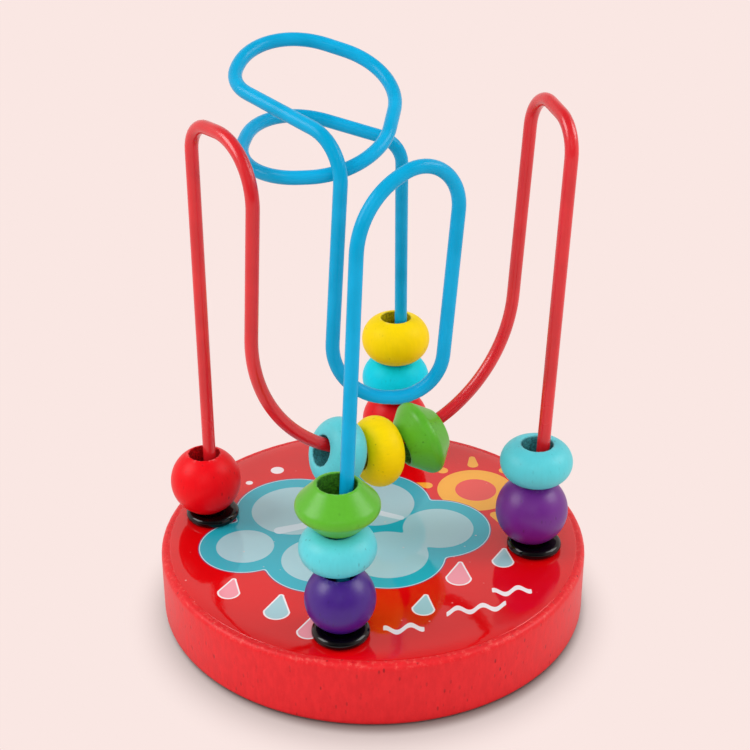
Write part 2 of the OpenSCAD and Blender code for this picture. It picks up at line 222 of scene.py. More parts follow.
def cone_flank():
    """Two straight slopes that touch a round widest edge, with the lips round the bore eased by a short
    blur along the line."""
    edge_x, lip_x = CONE_D / 2 - CONE_EDGE, CONE_BORE / 2 + CONE_LIP
    slope = math.atan2(CONE_H / 2, lip_x - edge_x)
    touch = slope - math.acos(CONE_EDGE / math.hypot(lip_x - edge_x, CONE_H / 2))
    a = np.linspace(-touch, touch, 41)
    arc = np.stack([edge_x + CONE_EDGE * np.cos(a), CONE_EDGE * np.sin(a)], 1)
    ends = np.array([[CONE_BORE / 2, CONE_H / 2], [lip_x, CONE_H / 2]])
    line = np.concatenate([ends * [1, -1], arc, ends[::-1]])
    line = spaced(line, 0, 0, 261)
    blur = np.exp(-0.5 * (np.arange(-9, 10) / 3.6) ** 2)
    padded = np.concatenate([2 * line[:1] - line[9:0:-1], line, 2 * line[-1:] - line[-2:-11:-1]])
    return np.stack([np.convolve(padded[:, k], blur / blur.sum(), "valid") for k in range(2)], 1)


def turn_bead(name, node, body, flank, rim, seed, rough_rim, axes=None):
    """A bead: its profile turned round its bore, a few hundredths out of round, with a rough bore edge, then
    set in place. The attribute turned holds the bead's own coordinates in millimetres, with the bore along
    its third axis, apart from those of other beads."""
    profile, in_bore, on_edge = bead_profile(flank, rim)
    a = np.linspace(0, 2 * np.pi, BEAD_SEGMENTS, endpoint=False)[None, :]
    z, bore, edge = profile[:, 1][:, None], in_bore[:, None], on_edge[:, None]
    uneven = 0.035 * ripple(a, z * 0.4, seed, 4) * (1 - bore)
    chips = rough_rim * ripple(7 * a, z * 0.8, seed + 1, 6) * (edge * 0.7 + 0.3 * bore)
    r = profile[:, 0][:, None] + uneven + chips
    own = np.stack([r * np.cos(a), r * np.sin(a), np.broadcast_to(z, r.shape)], -1)
    low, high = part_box(node)
    middle = (np.array(low) + np.array(high)) / 2 / MM
    placed = own @ (np.eye(3) if axes is None else np.array(axes)) + middle
    marks = {"turned": own + np.array([0, 0, 40.0 * seed]),
             "bore": np.broadcast_to(bore, r.shape).copy(), "edge": np.broadcast_to(edge, r.shape).copy()}
    piece = skin(name, placed, run_lengths(profile), 2 * np.pi * profile[:, 0].max(), True, marks=marks)
    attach(piece, body)
    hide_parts(node)
    return piece


def turn_disc(name, node, body, profile, segments, uneven=None):
    """A disc on the part's axis: its profile runs from the middle of its underside out, up and back in to the
    middle of its top, and is turned round the axis. uneven gives a small change of radius and height from the
    angle and the profile."""
    a = np.linspace(0, 2 * np.pi, segments, endpoint=False)[None, :]
    inner = profile[1:-1]
    r, z = inner[:, 0][:, None] + 0 * a, inner[:, 1][:, None] + 0 * a
    if uneven:
        dr, dz = uneven(a, r, z)
        r, z = r + dr, z + dz
    grid = np.stack([r * np.cos(a), r * np.sin(a), z], -1)
    ends = [(0, 0, profile[0, 1]), (0, 0, profile[-1, 1])]
    piece = skin(name, grid, run_lengths(inner), 2 * np.pi * inner[:, 0].max(), False, ends)
    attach(piece, body)
    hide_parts(node)
    return piece


def base_profile():
    """Flat underside, a quarter round, the upright side, a quarter round and the flat top."""
    e, r, h = BASE_EDGE, BASE_D / 2, BASE_H
    q = np.linspace(0, np.pi / 2, 13)
    low = np.stack([r - e + e * np.sin(q), e - e * np.cos(q)], 1)
    high = np.stack([r - e + e * np.cos(q), h - e + e * np.sin(q)], 1)
    side = np.stack([np.full(22, r), np.linspace(e, h - e, 24)[1:-1]], 1)
    flat = np.linspace(0, r - e, 14)[:-1]
    under = np.stack([flat, np.zeros(13)], 1)
    top = np.stack([flat[::-1], np.full(13, h)], 1)
    return np.concatenate([under, low, side, high, top])


def base_uneven(a, r, z):
    """Hand-sanded wood: the side sways by a few hundredths of a millimetre, and the upper edge a little
    more, by sums of sines of the angle."""
    outer = np.clip((r - BASE_D / 2 + 3) / 3, 0, 1)
    edge = outer * np.exp(-((z - BASE_H + 0.5) / 0.9) ** 2)
    dr = 0.05 * outer * ripple(a, z * 0.3, 3, 5) - 0.06 * edge * np.abs(ripple(17 * a, z, 4, 7))
    return dr - 0.02 * outer, -0.05 * edge * np.abs(ripple(23 * a, r * 0.2, 5, 7))


def film_profile():
    """A thin disc whose clear coat falls away over its last 3 mm: the height is the thickness times
    1 - k^2.2, k rising from 0 to 1 across that margin, over a hair's breadth that stays."""
    r, margin = FILM_D / 2, 3.0
    k = np.linspace(0, 1, 19)
    thin = 0.03
    fall = np.stack([r - margin + margin * k, BASE_H + thin + (FILM_T - thin) * (1 - k ** 2.2)], 1)[::-1]
    flat = np.linspace(0, r - margin, 30)[:-1]
    under = np.stack([np.linspace(0, r, 6), np.full(6, BASE_H)], 1)
    top = np.stack([flat[::-1], np.full(29, BASE_H + FILM_T)], 1)
    return np.concatenate([under, fall, top])


def washer_profile():
    """Half circle at the rim, a top that dips slightly towards the hole, and the hole's wall."""
    r, t, hole = WASHER_D / 2, WASHER_T, WASHER_HOLE / 2
    q = np.linspace(-np.pi / 2, np.pi / 2, 29)
    rim = np.stack([r - t / 2 + t / 2 * np.cos(q), t / 2 + t / 2 * np.sin(q)], 1)
    k = np.linspace(0, 1, 16)[1:]
    top = np.stack([r - t / 2 + (hole + 0.3 - r + t / 2) * k, t - 0.28 * np.sin(np.pi / 2 * k) ** 2], 1)
    wall = np.stack([np.full(8, hole), np.linspace(t - 0.45, 0.2, 8)], 1)
    under = np.stack([np.linspace(hole + 0.2, r - t / 2 - 0.2, 8), np.zeros(8)], 1)
    return np.concatenate([rim, top, wall, under])


def set_washer(name, node):
    """A washer: its profile turned round its own upright axis."""
    profile = washer_profile()
    a = np.linspace(0, 2 * np.pi, WASHER_SEGMENTS, endpoint=False)[None, :]
    r, z = profile[:, 0][:, None] + 0 * a, profile[:, 1][:, None] + 0 * a
    lump = 0.05 * ripple(a, z * 0.2, len(node), 3) * np.clip((r - 2.5) / 2, 0, 1)
    low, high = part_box(node)
    middle = (np.array(low) + np.array(high)) / 2 / MM
    r = r - 0.05 + lump
    grid = np.stack([r * np.cos(a) + middle[0], r * np.sin(a) + middle[1],
                     z + lump * 0.5 * (z / WASHER_T) + low[2] / MM], -1)
    piece = skin(name, grid, run_lengths(profile), 2 * np.pi * WASHER_D / 2, True)
    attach(piece, "frame")
    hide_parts(node)
    return piece


# Bent wires

def above(x, y, h):
    """A point at height h over the base's top."""
    return np.array([x, y, BASE_H + h], float)


def down_to_end(foot, peak):
    """Where a straight leg from peak to foot ends in its hole."""
    return foot + (peak - foot) * (BASE_H - WIRE_SET - foot[2]) / (peak[2] - foot[2])


def unit(v):
    """A vector of length 1."""
    return v / np.linalg.norm(v)


def bent_path(corners, radii, step=0.9, least=0.6):
    """Stations along a wire, its side vectors and its headings. Each corner becomes a round bend that starts
    r tan(turn / 2) before it; where two bends and a short run don't fit between corners, both shrink alike.
    The side vector stays put along a run and turns with each bend about the bend's axis."""
    corners = [np.array(c, float) for c in corners]
    n = len(corners)
    ways = [unit(corners[i + 1] - corners[i]) for i in range(n - 1)]
    runs = [np.linalg.norm(corners[i + 1] - corners[i]) for i in range(n - 1)]
    turns = [0.0] + [math.acos(np.clip(ways[i - 1] @ ways[i], -1, 1)) for i in range(1, n - 1)] + [0.0]
    full = [r * math.tan(q / 2) for r, q in zip(radii, turns)]
    ease = [min(1.0, (runs[i] - least) / (full[i] + full[i + 1])) for i in range(n - 1)]
    reach = [0.0] + [full[i] * min(ease[i - 1], ease[i]) for i in range(1, n - 1)] + [0.0]
    side = unit(np.cross(ways[0], [0.3, 1.0, 0.2]))
    places, sides, heads = [], [], []
    for i in range(n - 1):
        start, end = corners[i] + reach[i] * ways[i], corners[i + 1] - reach[i + 1] * ways[i]
        count = max(2, int(np.linalg.norm(end - start) / (step * 2)) + 1)
        t = np.linspace(0, 1, count)[:, None]
        places.append(start + (end - start) * t)
        sides.append(np.repeat(side[None, :], count, 0))
        heads.append(np.repeat(ways[i][None, :], count, 0))
        if i + 2 < n:
            q = turns[i + 1]
            r = reach[i + 1] / math.tan(q / 2)
            axis = unit(np.cross(ways[i], ways[i + 1]))
            inward = np.cross(axis, ways[i])
            a = np.linspace(0, q, max(6, int(r * q / step)))[1:-1, None]
            places.append(end + r * inward * (1 - np.cos(a)) + r * ways[i] * np.sin(a))
            heads.append(ways[i] * np.cos(a) + inward * np.sin(a))
            a = np.append(a, [[q]], 0)
            kept = axis * (axis @ side)
            turned = side * np.cos(a) + np.cross(axis, side) * np.sin(a) + kept * (1 - np.cos(a))
            sides.append(turned[:-1])
            side = turned[-1]
    return np.concatenate(places), np.concatenate(sides), np.concatenate(heads)


def sweep_wire(name, node, corners, radii):
    """A round tube carried along a bent path: a circle of the wire's radius in the plane of the side vector
    and of the heading's cross product with it."""
    place, side, head = bent_path(corners, radii)
    other = np.cross(head, side)
    a = np.linspace(0, 2 * np.pi, WIRE_SEGMENTS, endpoint=False)[None, :, None]
    ring = side[:, None, :] * np.cos(a) + other[:, None, :] * np.sin(a)
    grid = place[:, None, :] + WIRE_D / 2 * ring
    piece = skin(name, grid, run_lengths(place), np.pi * WIRE_D, False, [place[0], place[-1]])
    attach(piece, "frame")
    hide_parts(node)
    return piece


# The red wire's valley: its bend, lowest height, turn about the upright, middle, and the lean of its sides
VALLEY_R, VALLEY_LOW, VALLEY_TURN, VALLEY_AT = 30.0, 20.7, math.radians(38.5), (2.5, 3.5)
LEFT_LEAN, RIGHT_LEAN = math.radians(-3.0), math.radians(3.5)
LEFT_FOOT, RIGHT_FOOT, FRONT_FOOT, BACK_FOOT = (-35.6, 0.8), (34.2, 0.8), (0.0, -36.0), (0.0, 36.0)
# Heights where the valley's sides meet the two hairpins
LEFT_TOP, RIGHT_TOP = 90.0, 93.0


def in_valley(t, h):
    """A point of the valley's upright plane, t along it from its middle."""
    return above(*VALLEY_AT, h) + t * np.array([math.cos(VALLEY_TURN), math.sin(VALLEY_TURN), 0])


def red_route():
    """Corners and bends of the red wire, from the left foot to the right foot."""
    left_t = -VALLEY_R * math.tan(math.pi / 4 - LEFT_LEAN / 2)
    right_t = VALLEY_R * math.tan(math.pi / 4 - RIGHT_LEAN / 2)
    left_in = left_t - (LEFT_TOP - VALLEY_LOW) * math.tan(LEFT_LEAN)
    right_in = right_t + (RIGHT_TOP - VALLEY_LOW) * math.tan(RIGHT_LEAN)
    left_peak, right_peak = above(*LEFT_FOOT, 89.3), above(37.0, 7.2, 90.0)
    corners = [down_to_end(above(*LEFT_FOOT, 0), left_peak), left_peak, in_valley(left_in, LEFT_TOP),
               in_valley(left_t, VALLEY_LOW), in_valley(right_t, VALLEY_LOW), in_valley(right_in, RIGHT_TOP),
               right_peak, down_to_end(above(*RIGHT_FOOT, 0), right_peak)]
    return corners, [0, 6.0, 12.0, VALLEY_R, VALLEY_R, 7.0, 7.5, 0]


def blue_route():
    """Corners and bends of the blue wire: front foot, hairpin, dip, rise, the loop's rounded square helix
    and back foot."""
    loop_r, bend = 14.5, 0.95 * 14.5
    front_peak, back_peak = above(1.5, -23.0, 83.5), above(2.0, 22.5, 80.0)
    loop = [above(-12 + sx * loop_r, 6.5 + sy * loop_r, h)
            for sx, sy, h in ((-1, 1, 103.5), (1, 1, 95.5), (1, -1, 84.0), (-1, -1, 81.0), (-1, 1, 87.5))]
    corners = [down_to_end(above(*FRONT_FOOT, 0), front_peak), front_peak,
               above(18.5, -7.0, 93.5), above(15.0, -11.5, 41.0), above(-5.5, -16.5, 41.0),
               above(-3.0, -14.0, 91.5), above(-28.0, 2.5, 96.5),
               *loop, back_peak, down_to_end(above(*BACK_FOOT, 0), back_peak)]
    return corners, [0, 15.5, 9.0, 9.5, 11.0, 9.0, 9.0, bend, bend, bend, bend, bend, 6.0, 0]


# Shader trees

class Bench:
    """Short calls for the nodes of one shader tree. An argument is a socket or a plain value."""

    def __init__(self, tree):
        self.tree = tree

    def put(self, kind, inputs=None, **settings):
        """A node with its settings, and its inputs by name or number."""
        node = self.tree.nodes.new(kind)
        for key, value in settings.items():
            setattr(node, key, value)
        for key, value in (inputs or {}).items():
            self.feed(node.inputs[key], value)
        return node

    def feed(self, socket, value):
        """Links a socket, or sets its plain value."""
        if isinstance(value, bpy.types.NodeSocket):
            self.tree.links.new(value, socket)
        else:
            socket.default_value = value

    def math(self, work, a, b=0.0, c=0.0):
        """One sum on numbers."""
        return self.put("ShaderNodeMath", {0: a, 1: b, 2: c}, operation=work).outputs[0]

    def vector(self, work, a, b=(0.0, 0.0, 0.0)):
        """One sum on vectors, which gives a vector."""
        return self.put("ShaderNodeVectorMath", {0: a, 1: b}, operation=work).outputs[0]

    def stretch(self, vector, factors):
        """A vector with each axis multiplied by its factor."""
        return self.vector("MULTIPLY", vector, factors)

    def gap(self, a, b):
        """The distance between two points."""
        return self.put("ShaderNodeVectorMath", {0: a, 1: b}, operation="DISTANCE").outputs["Value"]

    def dot(self, a, b):
        """The dot product of two vectors."""
        return self.put("ShaderNodeVectorMath", {0: a, 1: b}, operation="DOT_PRODUCT").outputs["Value"]

    def blend(self, value, low, high):
        """A smooth step from 0 to 1 as a value goes from low to high."""
        inputs = {0: value, 1: low, 2: high}
        return self.put("ShaderNodeMapRange", inputs, interpolation_type="SMOOTHSTEP").outputs[0]

    def mix(self, share, a, b):
        """Two colours mixed by a share."""
        node = self.put("ShaderNodeMix", {0: share, 6: a, 7: b}, data_type="RGBA")
        return node.outputs[2]

    def noise(self, vector, scale, detail=3.0, rough=0.5):
        """Smooth noise, 0 to 1."""
        inputs = {"Vector": vector, "Scale": scale, "Detail": detail, "Roughness": rough}
        return self.put("ShaderNodeTexNoise", inputs).outputs[0]

    def cells(self, vector, scale):
        """The distance to the nearest scattered point, and a number that belongs to that point."""
        node = self.put("ShaderNodeTexVoronoi", {"Vector": vector, "Scale": scale})
        pick = self.put("ShaderNodeSeparateColor", {0: node.outputs["Color"]}).outputs[0]
        return node.outputs["Distance"], pick

    def turned(self, vector, angle):
        """A vector turned about the upright."""
        inputs = {"Vector": vector, "Angle": angle}
        return self.put("ShaderNodeVectorRotate", inputs, rotation_type="Z_AXIS").outputs[0]

    def bump(self, shader, height, strength, distance):
        """Gives a shader the normals of a height field."""
        node = self.put("ShaderNodeBump", {"Height": height, "Strength": strength, "Distance": distance})
        self.feed(shader.inputs["Normal"], node.outputs[0])

    def millimetres(self):
        """The piece's own coordinates in millimetres."""
        place = self.put("ShaderNodeTexCoord").outputs["Object"]
        return self.stretch(place, (1000.0, 1000.0, 1000.0))

    def mark(self, name, part="Fac"):
        """A point attribute of the piece."""
        return self.put("ShaderNodeAttribute", attribute_name=name).outputs[part]


def group(name, inputs, outputs, build):
    """A shader node group: its sockets by name and kind, and a function that fills it and gives its
    outputs."""
    tree = bpy.data.node_groups.new(name, "ShaderNodeTree")
    kinds = {"value": "NodeSocketFloat", "vector": "NodeSocketVector", "colour": "NodeSocketColor"}
    for label, kind in inputs.items():
        tree.interface.new_socket(name=label, in_out="INPUT", socket_type=kinds[kind])
    for label, kind in outputs.items():
        tree.interface.new_socket(name=label, in_out="OUTPUT", socket_type=kinds[kind])
    bench = Bench(tree)
    entry, leave = tree.nodes.new("NodeGroupInput"), tree.nodes.new("NodeGroupOutput")
    for label, socket in build(bench, entry.outputs).items():
        bench.feed(leave.inputs[label], socket)
    return tree


def use(bench, tree, **inputs):
    """A group placed in a tree, with its inputs by name."""
    node = bench.tree.nodes.new("ShaderNodeGroup")
    node.node_tree = tree
    for label, value in inputs.items():
        bench.feed(node.inputs[label.replace("_", " ")], value)
    return node.outputs


def build_wood(bench, given):
    """Painted wood: short pores scattered in clusters along the grain, and long soft grain."""
    along = bench.stretch(given["Place"], (1.0, 1.0, 0.42))
    far, pick = bench.cells(along, given["Pores per mm"])
    near = bench.blend(far, 0.30, 0.12)
    cluster = bench.blend(bench.noise(given["Place"], 0.22, 2.0), 0.42, 0.68)
    some = bench.blend(pick, given["Spared share"], 1.0)
    thick = bench.math("MULTIPLY_ADD", cluster, 0.75, 0.25)
    pores = bench.math("MULTIPLY", bench.math("MULTIPLY", near, some), thick)
    grain = bench.noise(bench.stretch(given["Place"], (1.5, 1.5, 0.16)), 1.0, 4.0, 0.6)
    return {"Pores": pores, "Grain": grain}


def build_peel(bench, given):
    """Orange peel in lacquer: soft dimples, and a fine dust of specks."""
    dimples = bench.noise(given["Place"], given["Dimples per mm"], 1.0, 0.4)
    far, pick = bench.cells(given["Place"], 0.55)
    specks = bench.math("MULTIPLY", bench.blend(far, 0.16, 0.06), bench.blend(pick, 0.91, 0.99))
    return {"Dimples": dimples, "Specks": specks}


WOOD = group("painted wood", {"Place": "vector", "Pores per mm": "value", "Spared share": "value"},
             {"Pores": "value", "Grain": "value"}, build_wood)
PEEL = group("lacquer peel", {"Place": "vector", "Dimples per mm": "value"},
             {"Dimples": "value", "Specks": "value"}, build_peel)


def material(name):
    """An empty material with its Principled BSDF."""
    made = bpy.data.materials.new(name)
    made.use_nodes = True
    return made, Bench(made.node_tree), made.node_tree.nodes["Principled BSDF"]


def darker(colour, share):
    """A colour times a share."""
    return (colour[0] * share, colour[1] * share, colour[2] * share, 1.0)


def bead_paint(name, colour, lathe, pore_dark, rough, shine):
    """Satin paint on a turned bead: grain that stirs the colour, dark pores, pale worn bore edges, painted
    shade that darkens the bore, which is also dull, and fine lathe lines in the bump."""
    made, bench, skin_node = material(name)
    place = bench.mark("turned", "Vector")
    bore, edge = bench.mark("bore"), bench.mark("edge")
    wood = use(bench, WOOD, Place=place, Pores_per_mm=1.15, Spared_share=0.45)
    tone = bench.mix(bench.blend(wood["Grain"], 0.25, 0.8), darker(colour, 0.94), colour)
    worn = bench.math("MULTIPLY", edge, bench.blend(bench.noise(place, 1.3, 3.0), 0.48, 0.72))
    pale = tuple(0.35 + 0.65 * c for c in colour[:3]) + (1.0,)
    tone = bench.mix(bench.math("MULTIPLY", worn, 0.35), tone, pale)
    tone = bench.mix(bench.math("MULTIPLY", wood["Pores"], pore_dark), tone, darker(colour, 0.12))
    fuzz = bench.noise(place, 2.2, 4.0, 0.7)
    # Painted shade in the bore: its colour falls to 15 to 58 per cent of the paint's, in fuzzy patches
    deep = bench.mix(bench.blend(fuzz, 0.35, 0.65), darker(colour, 0.15), darker(colour, 0.58))
    tone = bench.mix(bench.math("MULTIPLY", bore, 0.9), tone, deep)
    bench.feed(skin_node.inputs["Base Color"], tone)
    dull = bench.math("MULTIPLY_ADD", wood["Grain"], 0.12, rough - 0.06)
    dull = bench.math("MAXIMUM", dull, bench.math("MULTIPLY", bore, 0.9))
    bench.feed(skin_node.inputs["Roughness"], dull)
    turning = bench.noise(bench.stretch(place, (0.05, 0.05, 3.4)), 1.0, 2.0)
    height = bench.math("MULTIPLY_ADD", turning, lathe, bench.math("MULTIPLY", wood["Grain"], 0.12))
    height = bench.math("SUBTRACT", height, bench.math("MULTIPLY", wood["Pores"], 0.9))
    height = bench.math("MULTIPLY_ADD", bench.math("MULTIPLY", fuzz, bore), 2.5, height)
    bench.bump(skin_node, height, 0.5, 0.00008)
    skin_node.inputs["Specular IOR Level"].default_value = shine
    return made


def base_paint():
    """Red satin paint on the base: soft upright grain, dark pores, and paler paint in patches along the upper
    edge, partly rubbed paint and partly a painted highlight on the rounded rim. The light that it throws on
    other things is kept dull, so that the floor's shade stays neutral."""
    made, bench, skin_node = material("base red paint")
    place = bench.millimetres()
    wood = use(bench, WOOD, Place=place, Pores_per_mm=1.0, Spared_share=0.28)
    streaks = bench.noise(bench.stretch(place, (0.9, 0.9, 0.34)), 1.0, 3.0, 0.6)
    tone = bench.mix(bench.blend(streaks, 0.3, 0.75), darker(RED_PAINT, 0.95), srgb(232, 32, 38))
    tone = bench.mix(bench.math("MULTIPLY", wood["Pores"], 0.75), tone, darker(RED_PAINT, 0.22))
    height_mm = bench.put("ShaderNodeSeparateXYZ", {0: place}).outputs[2]
    # Paler patches along the upper edge: partly rubbed paint, partly a painted highlight of the rounded rim
    wear_and_highlight_patches = bench.blend(bench.noise(place, 1.1, 4.0, 0.7), 0.5, 0.7)
    edge = bench.math("MULTIPLY", bench.blend(height_mm, BASE_H - 1.3, BASE_H - 0.25), wear_and_highlight_patches)
    tone = bench.mix(bench.math("MULTIPLY", edge, 0.45), tone, srgb(245, 120, 108))
    bounce = bench.put("ShaderNodeLightPath").outputs["Is Diffuse Ray"]
    bench.feed(skin_node.inputs["Base Color"], bench.mix(bounce, tone, srgb(70, 56, 54)))
    bench.feed(skin_node.inputs["Roughness"], bench.math("MULTIPLY_ADD", streaks, 0.16, 0.34))
    fine = bench.noise(place, 2.6, 3.0, 0.6)
    height = bench.math("MULTIPLY_ADD", streaks, 0.45, bench.math("MULTIPLY", fine, 0.6))
    height = bench.math("SUBTRACT", height, wood["Pores"])
    bench.bump(skin_node, height, 0.55, 0.0001)
    skin_node.inputs["Specular IOR Level"].default_value = 0.3
    return made


def wire_lacquer(name, colour, rough, shine, coat, dimple):
    """Lacquered steel: an even colour with faint drifts along the wire, small dust specks and orange
    peel."""
    made, bench, skin_node = material(name)
    place = bench.millimetres()
    peel = use(bench, PEEL, Place=place, Dimples_per_mm=0.9)
    drift = bench.noise(place, 0.12, 2.0)
    bright = tuple(min(1.0, c * 1.05 + 0.004) for c in colour[:3]) + (1.0,)
    tone = bench.mix(bench.blend(drift, 0.3, 0.7), darker(colour, 0.92), bright)
    tone = bench.mix(bench.math("MULTIPLY", peel["Specks"], 0.35), tone, darker(colour, 0.5))
    bench.feed(skin_node.inputs["Base Color"], tone)
    bench.feed(skin_node.inputs["Roughness"], bench.math("MULTIPLY_ADD", drift, 0.08, rough - 0.04))
    height = bench.math("ADD", peel["Dimples"], bench.math("MULTIPLY", peel["Specks"], 0.6))
    bench.bump(skin_node, height, dimple, 0.00012)
    skin_node.inputs["Specular IOR Level"].default_value = shine
    skin_node.inputs["Coat Weight"].default_value = coat
    skin_node.inputs["Coat Roughness"].default_value = 0.16
    return made


def washer_gloss():
    """Glossy black: soft moulding waves, and a thin grey dust that dulls it in patches."""
    made, bench, skin_node = material("washer black")
    place = bench.millimetres()
    peel = use(bench, PEEL, Place=place, Dimples_per_mm=0.45)
    dust = bench.blend(bench.noise(place, 0.7, 4.0, 0.65), 0.5, 0.85)
    tone = bench.mix(bench.math("MULTIPLY", dust, 0.25), srgb(3, 3, 4), srgb(30, 28, 28))
    tone = bench.mix(bench.math("MULTIPLY", peel["Specks"], 0.3), tone, srgb(110, 106, 104))
    bench.feed(skin_node.inputs["Base Color"], tone)
    bench.feed(skin_node.inputs["Roughness"], bench.math("MULTIPLY_ADD", dust, 0.12, 0.07))
    bench.bump(skin_node, peel["Dimples"], 0.3, 0.0002)
    skin_node.inputs["Specular IOR Level"].default_value = 0.36
    return made


# The print, drawn as distances in millimetres: below 0 is inside a motif

def disc(bench, spot, x, y, r):
    """Distance to a disc."""
    return bench.math("SUBTRACT", bench.gap(spot, (x, y, 0.0)), r)


def taper(bench, spot, start, end, r_start, r_end):
    """Distance to a stroke whose half width runs from r_start to r_end: the distance to the nearest point of
    the segment, less the half width there."""
    way = (end[0] - start[0], end[1] - start[1], 0.0)
    size = way[0] ** 2 + way[1] ** 2
    part = bench.math("DIVIDE", bench.dot(bench.vector("SUBTRACT", spot, (*start, 0.0)), way), size)
    part = bench.math("MINIMUM", bench.math("MAXIMUM", part, 0.0), 1.0)
    foot = bench.put("ShaderNodeVectorMath", {0: way, 3: part}, operation="SCALE").outputs[0]
    far = bench.gap(spot, bench.vector("ADD", foot, (*start, 0.0)))
    return bench.math("SUBTRACT", far, bench.math("MULTIPLY_ADD", part, r_end - r_start, r_start))


def ripple_stroke(bench, spot, x, y, half):
    """Distance to a wavy stroke: how far the height lies from a sine of the width on a slight slope, cut off
    half its length either way."""
    apart = bench.put("ShaderNodeSeparateXYZ", {0: bench.vector("SUBTRACT", spot, (x, y, 0.0))}).outputs
    wave = bench.math("SINE", bench.math("MULTIPLY", apart[0], 1.25))
    line = bench.math("MULTIPLY_ADD", apart[0], 0.18, bench.math("MULTIPLY", wave, 0.9))
    off = bench.math("ABSOLUTE", bench.math("SUBTRACT", apart[1], line))
    far = bench.math("SUBTRACT", bench.math("ABSOLUTE", apart[0]), half)
    return bench.math("SMOOTH_MAX", bench.math("SUBTRACT", off, 0.75), far, 0.5)


def join(bench, parts, soft):
    """The union of motifs, with their meeting corners softened."""
    total = parts[0]
    for part in parts[1:]:
        total = bench.math("SMOOTH_MIN", total, part, soft)
    return total


def inside(bench, distance, edge=0.0):
    """1 inside a motif and 0 outside it, with a printed edge about a tenth of a millimetre wide."""
    return bench.blend(distance, edge + 0.07, edge - 0.07)


def gloss_print():
    """The printed film: red ground with a sun, a bordered cloud, raindrops, ripples and dots under a clear
    gloss coat."""
    made, bench, skin_node = material("film gloss print")
    place = bench.millimetres()
    spot = bench.turned(bench.stretch(place, (1.0, 1.0, 0.0)), -VIEW_TURN)
    drift = bench.blend(bench.noise(place, 0.08, 2.0), 0.3, 0.7)
    tone = bench.mix(drift, darker(RED_PRINT, 0.95), RED_PRINT)

    def ink(distance, colour, edge=0.0):
        """Prints a colour inside a motif."""
        nonlocal tone
        tone = bench.mix(inside(bench, distance, edge), tone, colour)

    sun_at = (23.0, 17.5)
    rays = [taper(bench, spot, (sun_at[0] + 11.0 * math.cos(q), sun_at[1] + 11.0 * math.sin(q)),
                  (sun_at[0] + 14.0 * math.cos(q), sun_at[1] + 14.0 * math.sin(q)), 1.25, 0.7)
            for q in np.radians(np.arange(10, 370, 40))]
    ink(join(bench, rays, 0.2), SUN_ORANGE)
    ink(disc(bench, spot, *sun_at, 8.6), SUN_ORANGE)
    ink(disc(bench, spot, *sun_at, 4.6), SUN_CORAL)

    puffs = [(-27.0, -5.0, 9.5), (-17.0, 9.0, 13.0), (0.0, 12.0, 12.5), (14.0, 2.0, 11.0),
             (3.0, -8.0, 12.0), (-11.0, -10.0, 11.5)]
    cloud = join(bench, [disc(bench, spot, *p) for p in puffs], 1.6)
    ink(cloud, CLOUD_RIM, 0.42)
    ink(cloud, CLOUD_LINE, 0.22)
    ink(cloud, CLOUD_TEAL)
    ink(cloud, CLOUD_PALE, -3.4)
    curl = [taper(bench, spot, (-20.0, 1.0), (-12.0, 4.0), 1.3, 1.0),
            taper(bench, spot, (-12.0, 4.0), (-5.0, 1.5), 1.0, 0.8)]
    ink(join(bench, curl, 0.8), CLOUD_GLINT)
    ink(taper(bench, spot, (-1.0, 9.0), (6.0, 6.0), 1.0, 0.8), CLOUD_GLINT)

    drops = [(-29.0, -21.5, 1, 0), (-19.0, -28.0, 0, 1), (-12.5, -34.5, 1, 0),
             (10.0, -27.0, 0, 0), (17.5, -16.5, 1, 1), (27.0, -10.5, 0, 0)]
    for x, y, pink, big in drops:
        drop = taper(bench, spot, (x, y), (x + 0.6, y + 4.2 + big), 2.0 + 0.35 * big, 0.25)
        ink(drop, CHALK, 0.35)
        ink(drop, DROP_PINK if pink else CLOUD_PALE)
    for x, y, half in ((20.5, -27.0, 6.0), (28.0, -21.0, 4.0), (6.0, -33.5, 4.0)):
        ink(ripple_stroke(bench, spot, x, y, half), CHALK)
    dots = [(-22.0, 26.0, 1.5), (-12.5, 31.5, 1.0), (31.5, 3.0, 1.3), (5.0, 33.0, 1.2),
            (-33.5, 13.5, 1.2), (-28.0, 20.5, 0.8)]
    for x, y, r in dots:
        ink(disc(bench, spot, x, y, r), CHALK)

    peel = use(bench, PEEL, Place=place, Dimples_per_mm=0.55)
    tone = bench.mix(bench.math("MULTIPLY", peel["Specks"], 0.5), tone, srgb(246, 200, 196))
    bench.feed(skin_node.inputs["Base Color"], tone)
    smear = bench.blend(bench.noise(place, 0.11, 4.0, 0.6), 0.35, 0.8)
    bench.feed(skin_node.inputs["Roughness"], bench.math("MULTIPLY_ADD", smear, 0.05, 0.05))
    height = bench.math("MULTIPLY_ADD", peel["Specks"], 0.8, peel["Dimples"])
    bench.bump(skin_node, height, 0.12, 0.0001)
    skin_node.inputs["Specular IOR Level"].default_value = 0.62
    return made


# The pieces

def paint(piece, finish):
    """Puts a finish on a piece."""
    piece.data.materials.append(finish)


base = turn_disc("painted_base", "base", "frame", base_profile(), BASE_SEGMENTS, base_uneven)
paint(base, base_paint())
film = turn_disc("gloss_film", "printed_film", "frame", film_profile(), FILM_SEGMENTS)
paint(film, gloss_print())

red_wire = sweep_wire("red_wire_tube", "red_wire", *red_route())
paint(red_wire, wire_lacquer("red wire lacquer", RED_LACQUER, 0.26, 0.5, 0.35, 0.10))
blue_wire = sweep_wire("blue_wire_tube", "blue_wire", *blue_route())
paint(blue_wire, wire_lacquer("blue wire lacquer", BLUE_LACQUER, 0.22, 0.13, 0.0, 0.08))

black = washer_gloss()
for side in ("left", "right", "front", "back"):
    paint(set_washer(f"gloss_washer_{side}", f"washer_{side}"), black)

swing = next(j for j in frame["joints"] if j["name"] == "valley_yellow_swing")
valley_middle, valley_axis = np.array(swing["pos_m"]), unit(np.array(swing["axis"]))


